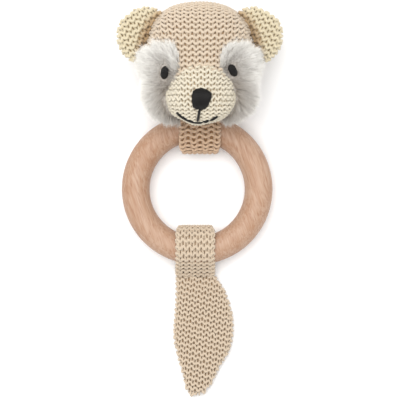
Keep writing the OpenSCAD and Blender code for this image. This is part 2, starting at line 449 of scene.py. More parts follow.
def pile_fibre(name, tip, root):
    """Acrylic pile of faux fur: pale silky tips over shaded roots, each hair a little different."""
    material, tree = finish_of(name, {"Roughness": 0.65, "Sheen Weight": 0.3})
    axes = yarn_axes(tree)
    tone = add(tree, "Math", {"operation": "MULTIPLY_ADD", 1: 0.45}, {0: axes[1], 2: axes[0]})
    middle = tuple((a + b) / 2 for a, b in zip(root, tip))
    ramp = add(tree, "ValToRGB", {"stops": [(0.0, root), (0.55, middle), (1.0, tip)]}, {"Fac": tone})
    return dressed(material, ramp.outputs["Color"])


def satin_floss(name, dark):
    """Mercerised thread, as in embroidery floss: a soft gleam along each strand's twist, with painted
    highlight on the twist's crests.
    """
    material, tree = finish_of(name, {"Roughness": 0.45, "Specular IOR Level": 0.25})
    axes = yarn_axes(tree)
    along = add(tree, "Math", {"operation": "MULTIPLY", 1: TURN / 0.9}, {0: axes[0]})
    twist = add(tree, "Math", {"operation": "MULTIPLY_ADD", 1: 2 * TURN}, {0: axes[1], 2: along})
    strand = add(tree, "Math", {"operation": "SINE"}, {0: twist})
    # Painted highlight: the crests of the twist are paler than the thread's own colour.
    paler = tuple(c * 2.2 for c in dark[:3]) + (1.0,)
    ramp = add(tree, "ValToRGB", {"stops": [(0.2, dark), (1.0, paler)]}, {"Fac": strand})
    bump = add(tree, "Bump", {"Strength": 0.5, "Distance": 0.06 * MM}, {"Height": strand})
    return dressed(material, ramp.outputs["Color"], bump)


def oiled_beech(name, light, pore):
    """Turned and sanded beech with a thin oil: warm, satin, with short dark flecks along the grain."""
    material, tree = finish_of(name, {"Roughness": 0.5, "IOR": 1.5, "Specular IOR Level": 0.35})
    warm = tuple(c * d for c, d in zip(light, (0.80, 0.68, 0.58, 1.0)))
    place = add(tree, "TexCoord").outputs["Object"]
    # The grain runs 18 degrees off the toy's long axis, and every pattern is stretched along it.
    grain = add(tree, "Mapping", {"Rotation": (0.0, 0.0, -math.radians(18))}, {"Vector": place})
    along = add(tree, "Mapping", {"Scale": (1.0, 0.07, 1.0)}, {"Vector": grain})
    broad, fine, pores, growth = (
        add(tree, "TexNoise", {"Scale": 1 / (size * MM), "Detail": detail}, {"Vector": along})
        for size, detail in ((7, 3.0), (0.8, 4.0), (0.45, 1.0), (9, 1.0))
    )
    tone = add(tree, "Math", {"operation": "MULTIPLY", 1: 0.6}, {0: broad})
    tone = add(tree, "Math", {"operation": "MULTIPLY_ADD", 1: 0.8}, {0: fine, 2: tone})
    ramp = add(tree, "ValToRGB", {"stops": [(0.55, warm), (0.85, light)]}, {"Fac": tone})
    # Pores make short flecks, and a few dark growth lines run the whole length of the grain.
    black, white = (0, 0, 0, 1), (1, 1, 1, 1)
    fleck = add(tree, "ValToRGB", {"stops": [(0.56, black), (0.68, white)]}, {"Fac": pores})
    lines = [(0.535, black), (0.545, white), (0.555, black)]
    line = add(tree, "ValToRGB", {"stops": lines}, {"Fac": growth})
    dark = add(tree, "Math", {"operation": "MAXIMUM"}, {0: fleck, 1: line})
    share = add(tree, "Math", {"operation": "MULTIPLY", 1: 0.5}, {0: dark})
    mixed = add(tree, "Mix", {"data_type": "RGBA", 7: pore}, {0: share, 6: ramp})
    bump = add(tree, "Bump", {"Strength": 0.25, "Distance": 0.1 * MM, "invert": True}, {"Height": share})
    return dressed(material, mixed.outputs[2], bump)


# ---- knitting ----

# Yarn radius in millimetres and openness of the loops, for each part.
YARNS = {
    "head": (0.66, 0.03), "muzzle": (0.62, 0.02), "ear": (0.69, 0.02),
    "neck": (0.66, 0.0), "loop": (0.62, 0.02), "tail": (0.53, 0.02),
}
STEPS = 20  # points along the yarn of one stitch
SPREAD = 0.12  # how far a loop bulges past its neck, in stitch widths
POINT = 0.14  # how pointed a loop's head and foot are: 0 is round
RISE = 0.74  # how far a loop stands above and below its row, in row heights
RELIEF = 0.17  # how far the heads and feet of the loops stand out, in stitch widths
THIN = 0.22  # how much thinner the yarn is stretched in a loop's legs
NUDGE = 0.05  # step for measuring a surface's slope, in millimetres


def normals(place, u, v):
    """Unit normals of a surface that faces the cross product of its u and v directions."""
    across = place(u + NUDGE, v) - place(u - NUDGE, v)
    up = place(u, v + NUDGE) - place(u, v - NUDGE)
    return unit(np.cross(across, up))


def knit(draft, place, gauge, extent, keep, seed, facing=1.0, closed=False):
    """Lays rows of reverse stocking stitch on a surface, one yarn to a row.

    place turns cloth coordinates (u across, v up) into points; gauge is stitch width, row height, yarn
    radius and how open each loop is; keep says where the cloth is. The loops' heads and feet stand out.
    """
    wale, course, radius, openness = gauge
    rng = np.random.default_rng(seed)
    (u_low, u_high), (v_low, v_high) = extent
    first, last = round(u_low / wale), round(u_high / wale)
    turns = first + np.arange((last - first) * STEPS + (0 if closed else 1)) / STEPS
    knots = np.arange(first, last + 1)
    angle = TURN * turns
    for row in range(math.floor(v_low / course), math.ceil(v_high / course) + 1):
        ease, drift, slip = rng.normal(0, 1, (3, len(knots)))
        if closed:
            ease[-1], drift[-1], slip[-1] = ease[0], drift[0], slip[0]
        ease, drift, slip = (np.interp(turns, knots, k) for k in (ease, drift, slip))
        u = wale * (turns + SPREAD * np.sin(2 * angle) + openness * np.sin(angle) + 0.03 * slip)
        wave = (1 - POINT) * np.cos(angle) + POINT * np.cos(3 * angle)
        v = course * (row + (RISE + 0.04 * ease) * wave + 0.05 * drift)
        lift = wale * RELIEF * np.cos(2 * angle)
        thick = radius * (1 - THIN * np.sin(angle) ** 2)
        kept = keep(u, v)
        if closed and kept.all():
            out = facing * normals(place, u, v)
            draft.tube(place(u, v) + lift[:, None] * out, out, thick, flat=0.85, closed=True)
            continue
        for run in runs(kept):
            out = facing * normals(place, u[run], v[run])
            draft.tube(place(u[run], v[run]) + lift[run, None] * out, out, thick[run], flat=0.85)


def everywhere(u, v):
    """Keeps all of a cloth."""
    return np.full(np.shape(u), True)


def gauge_of(sizes, part):
    """One part's stitch width, row height and yarn radius in millimetres, and its loops' openness."""
    course = getattr(sizes, part + "_course")
    wale = getattr(sizes, ("tail" if part == "loop" else part) + "_wale")
    return wale / MM, course / MM, *YARNS[part]


# ---- stuffed shapes ----


def head_reach(d):
    """How far the head's cloth lies from its centre in each direction; fuller at the crown than a ball."""
    squareness = 2 + 0.4 * smoothstep(-0.2, 0.5, d[..., 1])
    semi = np.array([HEAD_R + 0.6, HEAD_R - 0.3, HEAD_R - 0.3])
    reach = (np.abs(d / semi) ** squareness[..., None]).sum(-1) ** (-1 / squareness)
    seam = 0.6 * np.exp(-((d[..., 2] * HEAD_R / 1.4) ** 2))
    by_ear = smoothstep(0.1, 0.3, d[..., 1]) * smoothstep(0.5, 0.75, np.abs(d[..., 0]))
    crease = 2.0 * by_ear * np.exp(-(((d[..., 2] - 0.27) / 0.18) ** 2))
    return reach - 0.9 - seam - crease + lumps(d * HEAD_R, 20, 0.22, 3)


def head_place(side):
    """Front (side 1) or back (side -1) of the head: stitch columns stand upright, rows arch."""

    def place(u, v):
        alpha = u / HEAD_R
        beta = v / (HEAD_R * np.maximum(np.cos(alpha), 0.2))
        d = np.stack([np.sin(alpha), np.cos(alpha) * np.sin(beta), side * np.cos(alpha) * np.cos(beta)], -1)
        return HEAD_C + head_reach(d)[..., None] * d

    return place


def head_keep(u, v):
    """True where the cloth coordinates lie on the panel's own half of the head."""
    alpha = u / HEAD_R
    return (np.abs(v) <= math.pi / 2 * HEAD_R * np.cos(alpha)) & (np.abs(alpha) < 1.36)


def muzzle_share(offset):
    """Offsets from the muzzle's middle as shares of its half sizes; its bridge is taller than its chin."""
    rising = smoothstep(-0.1, 0.5, unit(offset)[..., 1])
    return offset / (MUZZLE_SEMI + rising[..., None] * np.array([-0.8, 6.0, 0.0]))


def muzzle_level(points):
    """1 on the muzzle's surface, less inside it and more outside."""
    return norm(muzzle_share(points - MUZZLE_C))


def muzzle_reach(d):
    """How far the muzzle's surface lies from its middle in each direction."""
    return 1 / muzzle_level(MUZZLE_C + d * 1e-3) * 1e-3


def muzzle_height(x, y):
    """Height of the muzzle's front over each (x, y)."""
    offset = np.stack([x - MUZZLE_C[0], y - MUZZLE_C[1], 0 * x], -1)
    return MUZZLE_C[2] + MUZZLE_SEMI[2] * np.sqrt(np.maximum(1 - norm(muzzle_share(offset)) ** 2, 0.02))


def muzzle_turn(u, v):
    """Angle round the muzzle's cross axis at cloth coordinates: 0 at its front, below 0 towards the chin."""
    across = np.cos(u / (MUZZLE_SEMI[0] - 0.5))
    return v / (MUZZLE_SEMI[1] * np.maximum(across, 0.25) * 1.08)


def muzzle_place(u, v):
    """The muzzle's cloth: columns fan out from its front."""
    alpha = u / (MUZZLE_SEMI[0] - 0.5)
    beta = muzzle_turn(u, v)
    d = np.stack([np.sin(alpha), np.cos(alpha) * np.sin(beta), np.cos(alpha) * np.cos(beta)], -1)
    reach = muzzle_reach(d) - 1.0 + lumps(d * 16, 11, 0.25, 5)
    return MUZZLE_C + d * reach[..., None]


def ear_profile():
    """Distance along an ear's cloth from its middle, with the radius and height that it reaches."""
    turn = np.linspace(0, math.pi / 2, 90)
    fullness = 2 / 2.5
    radius = (EAR_R - 1.0) * np.sin(turn) ** fullness
    height = (EAR_T - 0.8) * np.cos(turn) ** fullness
    return running(np.hypot(np.diff(radius), np.diff(height))), radius, height


EAR_ALONG, EAR_OUT, EAR_UP = ear_profile()


def ear_place(hand, side):
    """One face of an ear: columns run along the line where the ear joins the head."""
    lean = math.radians(30)
    column = np.array([hand * math.sin(lean), math.cos(lean)])
    across = np.array([column[1], -column[0]])
    centre = EAR_C * np.array([hand, 1, 1])
    inward = np.array([-0.6 * hand, 0.8])

    def place(u, v):
        flat = u[..., None] * across + v[..., None] * column
        along = norm(flat)
        radius = np.interp(along, EAR_ALONG, EAR_OUT)
        height = np.interp(along, EAR_ALONG, EAR_UP)
        ray = flat / np.maximum(along, 1e-6)[..., None] * radius[..., None]
        # The ear is pulled flat along the seam that holds it to the head.
        from_head = centre[:2] + ray - HEAD_C[:2]
        level = np.concatenate([unit(from_head), 0 * height[..., None]], -1)
        gap = norm(from_head) - head_reach(level)
        pulled = 0.15 + 0.85 * smoothstep(-0.5, 6.0, gap)
        forward = 1.5 * smoothstep(-0.2, 1.0, ray @ inward / EAR_R)
        return centre + np.concatenate([ray, (side * height * pulled + forward)[..., None]], -1)

    return place


# ---- fur ----

# One fur patch on the head's ball, unrolled round the middle of the face: the right one.
FUR_OUTLINE = np.array([
    (11.5, 2.8), (14.5, 4.4), (20.8, 4.7), (30.2, 1.6), (42.0, -2.0), (43.0, -14.0), (37.0, -22.6),
    (24.4, -33.0), (12.6, -35.9), (10.3, -31.3), (14.2, -27.8), (17.2, -18.3), (12.5, -10.5),
    (9.5, -6.0), (10.0, -1.0),
])
CHEEK_C = np.array([12.5, 49.5, 33.0])
CHEEK_R = 11.5
EYE_SEMI = np.array([1.9, 3.0])
EYE_TILT = {-1: -8, 1: 28}
TUFTS = 420  # tufts in one patch
HAIR_STEPS = 4  # straight stretches along a hair
HAIR_HALF = 0.075  # half the width of a hair's root: a few real hairs, drawn as one


def unrolled(d):
    """Directions from the head's centre as places on a map round the middle of the face."""
    polar = np.arccos(np.clip(d[..., 2], -1, 1)) * HEAD_R
    return polar[..., None] * unit(d[..., :2])


def rolled(x, y):
    """The direction from the head's centre of each place on that map."""
    polar = np.hypot(x, y)
    tilt = polar / HEAD_R
    spread = np.sin(tilt) / np.maximum(polar, 1e-9)
    return np.stack([x * spread, y * spread, np.cos(tilt)], -1)


def cheek_reach(d, hand):
    """Distance from the head's centre to the fur's backing: the head, and a cheek that swells from it."""
    offset = CHEEK_C * np.array([hand, 1, 1]) - HEAD_C
    along = d @ offset
    under = along**2 - offset @ offset + CHEEK_R**2
    swell = np.where(under > 0, along + np.sqrt(np.maximum(under, 0)), 0)
    head = head_reach(d) + 0.4
    return (head**12 + np.maximum(swell, 1) ** 12) ** (1 / 12)


def eye_place(hand):
    """Middle of an eye, from its CAD node."""
    low, high = node_box("left_eye" if hand < 0 else "right_eye")
    return (low + high) / 2 - np.array([0, 0.6, 0])


def fur_patch(hand, pile, hairs, seed):
    """A faux fur patch: its ground cloth, and tufts of hairs that lie outwards from the muzzle."""
    rng = np.random.default_rng(seed)
    draft = Draft()
    outline = FUR_OUTLINE
    low, high = outline.min(0), outline.max(0)
    columns, rows = np.meshgrid(np.linspace(low[0], high[0], 60), np.linspace(low[1], high[1], 60))
    ground = rolled(hand * columns, rows)
    reach = cheek_reach(ground, hand) * np.where(inside(outline, columns, rows), 1, 0.93)
    points = HEAD_C + reach[..., None] * ground
    draft.grid(points if hand > 0 else points[:, ::-1], slot=1)

    spread = rng.uniform(low, high, (hairs * 4, 2))
    spread = spread[inside(outline, spread[:, 0], spread[:, 1])][:hairs]
    d = rolled(hand * spread[:, 0], spread[:, 1])
    root = HEAD_C + cheek_reach(d, hand)[:, None] * d
    step = 0.02
    east = rolled(hand * spread[:, 0] + step, spread[:, 1])
    north = rolled(hand * spread[:, 0], spread[:, 1] + step)
    east = HEAD_C + cheek_reach(east, hand)[:, None] * east - root
    north = HEAD_C + cheek_reach(north, hand)[:, None] * north - root
    out = unit(np.cross(east, north))
    from_eye = root[:, :2] - eye_place(hand)[:2]
    eye_gap = norm(from_eye / EYE_SEMI)
    shown = (eye_gap > 1.2) & (muzzle_level(root) > 1)
    root, out, eye_gap, from_eye = root[shown], out[shown], eye_gap[shown], from_eye[shown]
    count = len(root)

    source = np.array([hand * 10.0, 55.0, 50.0])
    flow = unit(root - source)
    near_eye = (1 - smoothstep(1.2, 3.2, eye_gap))[:, None]
    flow = unit(flow * (1 - near_eye) + near_eye * np.concatenate([unit(from_eye), np.zeros((count, 1))], 1))
    flow = unit(flow - (flow * out).sum(1, keepdims=True) * out)

    tufts = rng.integers(0, count, TUFTS)
    nearest = np.empty(count, int)
    for chunk in range(0, count, 2000):
        gap = norm(root[chunk : chunk + 2000, None] - root[tufts])
        nearest[chunk : chunk + 2000] = gap.argmin(1)
    tuft_lean = rng.normal(0, 0.24, (TUFTS, 3))
    tuft_long = rng.uniform(0.8, 1.1, TUFTS)
    lean = 1.0 + 0.25 * rng.normal(size=(count, 1))
    way = unit(out + lean * flow + tuft_lean[nearest] + 0.16 * rng.normal(size=(count, 3)))
    tall = pile * tuft_long[nearest] * rng.uniform(0.55, 1.05, count)
    tall *= 0.2 + 0.8 * smoothstep(1.2, 3.0, eye_gap)
    tuft_tip = root[tufts] + unit(out[tufts] + flow[tufts] + tuft_lean) * (pile * tuft_long)[:, None]
    share = np.linspace(0, 1, HAIR_STEPS + 1)[None, :, None]
    curl = rng.normal(0, 0.12, (count, 1, 3))
    line = root[:, None] + share * way[:, None] * tall[:, None, None]
    line += share**2 * (curl + 0.25 * flow[:, None] - 0.2 * out[:, None]) * tall[:, None, None]
    pull = 0.28 * share**2 * smoothstep(1.2, 3.0, eye_gap)[:, None, None]
    reach_tip = line[:, -1:] + (tuft_tip[nearest] - line[:, -1])[:, None]
    line += pull * (reach_tip - line[:, -1:])
    tangent = unit(np.gradient(line, axis=1))
    face = unit(out + 0.7 * rng.normal(size=(count, 3)))
    side = unit(np.cross(tangent, face[:, None]))
    half = HAIR_HALF * (1 - 0.85 * share**1.5) * side
    ribbon = np.stack([line - half, line + half], 2)
    base = np.arange(count)[:, None] * (HAIR_STEPS + 1) * 2 + np.arange(HAIR_STEPS) * 2
    quads = np.stack([base, base + 1, base + 3, base + 2], -1).reshape(-1, 4)
    # The pile is greyest low down beside the muzzle and beside the eyes, and white above the eye and at the
    # cheek's outside: partly a darker pile, partly painted shade where the muzzle and eyes shade the pile.
    by_muzzle = 1 - smoothstep(1.0, 1.5, muzzle_level(root))
    below_eye = 1 - smoothstep(50.0, 63.0, root[:, 1])
    by_eye = 1 - smoothstep(1.2, 3.6, eye_gap)
    tone = 0.55 * (1 - by_muzzle * below_eye) - 0.3 * by_eye + rng.uniform(-0.08, 0.08, count)
    shade, low, high = np.broadcast_arrays(tone[:, None], share[0, :-1, 0], share[0, 1:, 0])
    uvs = np.stack([shade, low, shade, low, shade, high, shade, high], -1)
    draft.add(ribbon.reshape(-1, 3), quads, uvs.reshape(-1, 2))
    return draft


# ---- embroidery ----


def satin(draft, centre, tilt, half_width, span, surface, dome, threads, radius):
    """Satin stitch: threads side by side over a padded shape.

    span gives the lowest and highest reach of the shape along its threads at each place across it.
    """
    cos, sin = math.cos(math.radians(tilt)), math.sin(math.radians(tilt))
    across, along = np.array([cos, sin]), np.array([-sin, cos])
    share = np.linspace(0, 1, 13)
    places = np.linspace(-half_width, half_width, threads + 2)[1:-1]
    rows = []
    for place in places:
        low, high = span(place)
        flat = centre + place * across + (low + (high - low) * share)[:, None] * along
        arch = 1 - np.abs(2 * share - 1) ** 3
        edge = 1 - (abs(place) / half_width) ** 4
        z = surface(flat[:, 0], flat[:, 1]) + dome * arch * (0.45 + 0.55 * edge)
        rows.append(np.column_stack([flat, z]))
        out = np.column_stack([0.3 * (flat - centre), 1 + 0 * z])
        draft.tube(rows[-1], unit(out), radius, sides=6)
    pad = np.array(rows) - np.array([0, 0, radius])
    draft.grid(pad)


def brow_height(x, y):
    """Height of the cloth under an eye over each (x, y)."""
    flat = (x - HEAD_C[0]) ** 2 + (y - HEAD_C[1]) ** 2
    return HEAD_C[2] + np.sqrt(np.maximum((HEAD_R + 0.8) ** 2 - flat, 1))


# ---- bands ----


class Band:
    """A knitted tube pressed flat, that goes round the ring on a path of hulled circles."""

    def __init__(self, circles, middle_x, width, inward, start=0.0, half_thick=0.6):
        turn = np.radians(start) + np.linspace(0, TURN, 721)
        ray = np.column_stack([np.sin(turn), np.cos(turn)])
        middles, radii = np.array([c[:2] for c in circles]), np.array([c[2] for c in circles])
        furthest = (ray @ middles.T + radii).argmax(1)
        path = middles[furthest] + radii[furthest, None] * ray
        self.path, self.along = path, running(norm(np.diff(path, axis=0)))
        self.length = self.along[-1]
        self.middle_x, self.half, self.thick = middle_x, width / 2, half_thick
        self.girth = 4 * self.half + TURN * half_thick
        self.inner_y = inward * (inward * path[:, 0]).max()

    def fitted(self, gauge):
        """The gauge with whole numbers of stitches round the band and rows along it."""
        wale, course, *rest = gauge
        return self.girth / round(self.girth / wale), self.length / round(self.length / course), *rest

    def at(self, v):
        """Point and outward direction on the path, in the plane across the ring."""
        v = v % self.length
        point = np.stack([np.interp(v, self.along, self.path[:, k]) for k in (0, 1)], -1)
        ends = []
        for step in (-0.3, 0.3):
            w = (v + step) % self.length
            ends.append(np.stack([np.interp(w, self.along, self.path[:, k]) for k in (0, 1)], -1))
        tangent = unit(ends[1] - ends[0])
        return point, np.stack([-tangent[..., 1], tangent[..., 0]], -1)

    def place(self, u, v):
        """Cloth coordinates to points: u goes round the flat tube, from the middle of its outer face."""
        u = u % self.girth
        front, bend = 2 * self.half, math.pi * self.thick
        s = (u + self.half) % self.girth
        turn = math.pi * sum(np.clip((s - edge) / bend, 0, 1) for edge in (front, 2 * front + bend))
        corners = [0, front, front + bend, 2 * front + bend, self.girth]
        x = np.interp(s, corners, self.half * np.array([-1, 1, 1, -1, -1])) + self.thick * np.sin(turn)
        point, out = self.at(v)
        # The band is drawn in a little where it bends through the inside of the ring.
        x = x * (0.8 + 0.2 * smoothstep(-1.5, 2.5, np.abs(point[..., 0] - self.inner_y)))
        flat = point + (self.thick * np.cos(turn))[..., None] * out
        return np.concatenate([(self.middle_x + x)[..., None], flat], -1)


def band_shade_sheet(band):
    """One thin strip inside the flattened knit that its yarn lies on, and that carries the painted shade
    seen through the knit's holes.
    """
    draft = Draft()
    v = np.linspace(0, band.length, 160)
    point, _ = band.at(v)
    across = np.linspace(-band.half, band.half, 9)
    columns = [np.column_stack([np.full(len(v), band.middle_x + x), point]) for x in across]
    draft.grid(np.stack(columns, 1))
    return draft


def knit_band(name, body, node, circles, gauge, finish, inward, start, seed):
    """Knits one band in place of its CAD node, over a strip that its yarn lies on and that carries painted
    shade for the knit's holes.

    inward is the way along y to the ring's middle, and start the direction, in degrees, of the rows' first.
    """
    low, high = node_box(node)
    band = Band(circles, (low + high)[0] / 2, (high - low)[0] - 2 * gauge[2] - 1.2, inward, start)
    gauge = band.fitted(gauge)
    yarn, painted_shade_sheet, slot = finish
    draft = Draft()
    extent = ((0, band.girth), (0, band.length - gauge[1]))
    knit(draft, band.place, gauge, extent, everywhere, seed, closed=True)
    knitted = draft.piece(name + "_knit", [yarn], slot, body, [node])
    cloth = band_shade_sheet(band).piece(name + "_cloth", [painted_shade_sheet], slot, body)


# ---- operators ----


class RATTLE_OT_ring(bpy.types.Operator):
    """Finishes the beech teething ring"""

    bl_idname = "rattle.ring"
    bl_label = "Teething ring"

    def execute(self, context):
        trim = context.scene.rattle_trim
        draft = Draft()
        turn = np.linspace(0, TURN, 240, endpoint=False)[:, None]
        tilt = np.linspace(0, TURN, 48, endpoint=False)[None, :]
        # A sanded ring is a little uneven, and a touch flatter than a true round.
        radius = TUBE_R - 0.02 + 0.02 * np.sin(3 * turn + 2 * tilt)
        out = RING_MID_R + radius * np.cos(tilt)
        points = RING_C + np.stack([out * np.cos(turn), out * np.sin(turn), radius * np.sin(tilt)], -1)
        draft.grid(np.concatenate([points, points[:1]]), wrap=True)
        beech = oiled_beech("oiled_beech", tuple(trim.beech), tuple(trim.beech_pore))
        draft.piece("teething_ring", [beech], "beech", "ring", ["beech_ring"])
        return {"FINISHED"}


class RATTLE_OT_head(bpy.types.Operator):
    """Knits the head's front and back panels"""

    bl_idname = "rattle.head"
    bl_label = "Head"

    def execute(self, context):
        sizes = context.scene.rattle_knit
        gauge = gauge_of(sizes, "head")
        yarn = spun_yarn("peach_cotton_yarn", sizes.peach)
        painted_shade_lining = painted_shade_cloth("peach_knit_painted_shade", sizes.peach, 0.5)
        reach = HEAD_R * math.pi / 2
        for side, name in ((1, "head_front_panel"), (-1, "head_back_panel")):
            place = head_place(side)

            def keep(u, v, place=place, front=side > 0):
                kept = head_keep(u, v)
                points = place(u, v)
                for hand in (-1, 1):
                    from_ear = points - EAR_C * np.array([hand, 1, 1])
                    kept &= norm(from_ear / np.array([EAR_R, EAR_R, EAR_T])) > 0.55
                    if front:
                        spot = unrolled(unit(points - HEAD_C)) * np.array([hand, 1])
                        middle = FUR_OUTLINE.mean(0)
                        kept &= ~inside(middle + (FUR_OUTLINE - middle) * 0.8, spot[..., 0], spot[..., 1])
                if front:
                    kept &= muzzle_level(points) > 0.85
                return kept

            draft = Draft()
            knit(draft, place, gauge, ((-reach, reach), (-reach, reach)), keep, 11 + side, facing=side)
            # Painted shade: a darker sheet under the yarn, seen through the knit's holes.
            d = directions(96, np.linspace(0.02, math.pi / 2, 30), side)
            inner = HEAD_C + (head_reach(d) - 0.75)[..., None] * d
            draft.grid(inner[:, ::side], wrap=True, slot=1)
            made = draft.piece(name.replace("panel", "knit"), [yarn, painted_shade_lining], "knit_peach", "head", [name])
        return {"FINISHED"}


class RATTLE_OT_muzzle(bpy.types.Operator):
    """Knits the muzzle's cover"""

    bl_idname = "rattle.muzzle"
    bl_label = "Muzzle"

    def execute(self, context):
        sizes = context.scene.rattle_knit
        gauge = gauge_of(sizes, "muzzle")
        yarn = spun_yarn("cream_cotton_yarn", sizes.cream)
        painted_shade_lining = painted_shade_cloth("cream_knit_painted_shade", sizes.cream, 0.6)

        def keep(u, v):
            d = muzzle_place(u, v) - HEAD_C
            buried = norm(d) < head_reach(unit(d)) - 1.0
            return (np.abs(u) < 1.5 * MUZZLE_SEMI[0]) & (muzzle_turn(u, v) > -2.8) & (v < 26) & ~buried

        draft = Draft()
        knit(draft, muzzle_place, gauge, ((-25, 25), (-42, 26)), keep, 21)
        # Painted shade: a darker sheet under the yarn, seen through the knit's holes.
        d = directions(72, np.linspace(0.02, 2.7, 48))
        inner = MUZZLE_C + d * (muzzle_reach(d) - 1.75)[..., None] - HEAD_C
        # Where the muzzle meets the head, its inside lies against the head's cloth.
        deep = norm(inner)[..., None]
        draft.grid(HEAD_C + inner * np.maximum(deep, HEAD_R - 3) / deep, wrap=True, slot=1)
        made = draft.piece("muzzle_knit", [yarn, painted_shade_lining], "knit_cream", "head", ["muzzle_cover"])
        return {"FINISHED"}


class RATTLE_OT_ears(bpy.types.Operator):
    """Knits both layers of each ear"""

    bl_idname = "rattle.ears"
    bl_label = "Ears"

    def execute(self, context):
        sizes = context.scene.rattle_knit
        gauge = gauge_of(sizes, "ear")
        # The ears' yarn carries painted shade at the crease beside the head.
        yarn = spun_yarn("straw_cotton_yarn", sizes.straw, crease=sizes.crease)
        painted_shade_lining = painted_shade_cloth("straw_knit_painted_shade", sizes.straw, 0.5)
        reach = EAR_ALONG[-1]
        for hand, ear in ((-1, "left"), (1, "right")):
            for side, face in ((1, "front"), (-1, "back")):
                place = ear_place(hand, side)

                def keep(u, v, place=place):
                    d = place(u, v) - HEAD_C
                    return (np.hypot(u, v) < reach) & (norm(d) > head_reach(unit(d)) - 1.2)

                draft = Draft()
                seed = 31 + hand + 3 * side
                knit(draft, place, gauge, ((-reach, reach), (-reach, reach)), keep, seed, facing=side)
                # Painted shade: a darker sheet under the yarn, seen through the knit's holes.
                turn = np.linspace(0, TURN, 73)[:-1]
                along = np.linspace(0.1, reach, 24)[:, None]
                inner = place(along * np.cos(turn), along * np.sin(turn))
                sideways = (inner - inner[0].mean(0)) * [1, 1, 0]
                inner = inner - 0.6 * unit(sideways) - np.array([0, 0, 0.7 * side])
                draft.grid(inner[:, ::side], wrap=True, slot=1)
                name = f"{ear}_ear_{face}"
                made = draft.piece(name + "_knit", [yarn, painted_shade_lining], "knit_cream", "head", [name + "_panel"])
        return {"FINISHED"}


class RATTLE_OT_fur(bpy.types.Operator):
    """Sews on the two faux fur patches"""

    bl_idname = "rattle.fur"
    bl_label = "Fur patches"

    def execute(self, context):
        trim = context.scene.rattle_trim
        pile = pile_fibre("acrylic_pile", tuple(trim.fur_tip), tuple(trim.fur_root))
        ground = mottled("fur_ground_cloth", linear("#b7b0a8"), linear("#8c837a"), 1.2, {"Roughness": 0.95})
        for hand, name in ((-1, "left_fur_patch"), (1, "right_fur_patch")):
            draft = fur_patch(hand, trim.pile / MM, trim.hairs, 41 + hand)
            draft.piece(name.replace("patch", "pile"), [pile, ground], "fur_grey", "head", [name])
        return {"FINISHED"}


class RATTLE_OT_face(bpy.types.Operator):
    """Embroiders the nose, the eyes and the mouth"""

    bl_idname = "rattle.face"
    bl_label = "Embroidered face"

    def execute(self, context):
        floss = satin_floss("mercerised_black_floss", tuple(context.scene.rattle_trim.floss))
        low, high = node_box("nose")
        middle, half = (low + high)[:2] / 2, (high - low)[0] / 2

        def nose_span(place):
            """A hand-stitched shield: full on its left, and sloping in below a shoulder on its right."""
            top = ([-1, -0.85, -0.5, 0, 0.5, 0.9, 1], [0.2, 3.3, 4.3, 4.6, 3.9, 2.7, 1.8])
            foot = ([-1, -0.85, -0.5, 0.3, 0.6, 0.85, 1], [-0.6, -4.6, -5.6, -5.4, -3.8, -1.2, 0.8])
            return np.interp(place / half, *foot), np.interp(place / half, *top)

        draft = Draft()
        shape = (middle, 0, half, nose_span)
        satin(draft, *shape, muzzle_height, dome=1.5, threads=24, radius=0.27)
        draft.piece("nose_satin", [floss], "thread_black", "head", ["nose"])

        def eye_span(place):
            reach = EYE_SEMI[1] * math.sqrt(max(1 - (place / EYE_SEMI[0]) ** 2, 0.05))
            return -reach, reach

        for hand, name in ((-1, "left_eye"), (1, "right_eye")):
            draft = Draft()
            shape = (eye_place(hand)[:2], EYE_TILT[hand], EYE_SEMI[0], eye_span)
            satin(draft, *shape, brow_height, dome=1.3, threads=9, radius=0.28)
            draft.piece(name + "_satin", [floss], "thread_black", "head", [name])

        draft = Draft()
        smile_c, smile_r = np.array([-0.3, 49.1]), 13.7
        turn = np.radians(np.linspace(221, 308, 70))
        smile = smile_c + smile_r * np.column_stack([np.cos(turn), np.sin(turn)])
        stem = np.linspace((0.1, 42.2), (-1.0, 36.0), 24)
        for path in (smile, stem):
            line = np.column_stack([path, muzzle_height(path[:, 0], path[:, 1])])
            out = unit((line - MUZZLE_C) / MUZZLE_SEMI**2)
            # The smile sinks between the knit's stitches in two places right of the stem.
            x = path[:, 0]
            right = smoothstep(0.3, 1.0, x) * (1 - smoothstep(4.8, 5.6, x))
            sunk = 0.55 * right * (0.5 + 0.5 * np.cos((x - 1.5) * TURN / 2.9))
            draft.tube(line + (0.05 - sunk)[:, None] * out, out, 0.6)
        draft.piece("mouth_backstitch", [floss], "thread_black", "head", ["mouth_stitches"])
        return {"FINISHED"}


class RATTLE_OT_neck(bpy.types.Operator):
    """Knits the band under the chin"""

    bl_idname = "rattle.neck"
    bl_label = "Neck band"

    def execute(self, context):
        sizes = context.scene.rattle_knit
        outer = (NECK_HIGH - NECK_LOW)[2] / 2
        z = (NECK_HIGH + NECK_LOW)[2] / 2
        circles = [(y, z, outer - 1.2) for y in (NECK_LOW[1] + outer, NECK_HIGH[1] - outer)]
        yarn = spun_yarn("tan_cotton_yarn", sizes.tan)
        finish = (yarn, painted_shade_cloth("tan_knit_painted_shade", sizes.tan, 0.42), "knit_tan")
        names = ("neck_band", "neck", "neck_loop")
        knit_band(*names, circles, gauge_of(sizes, "neck"), finish, inward=-1, start=60, seed=51)
        return {"FINISHED"}


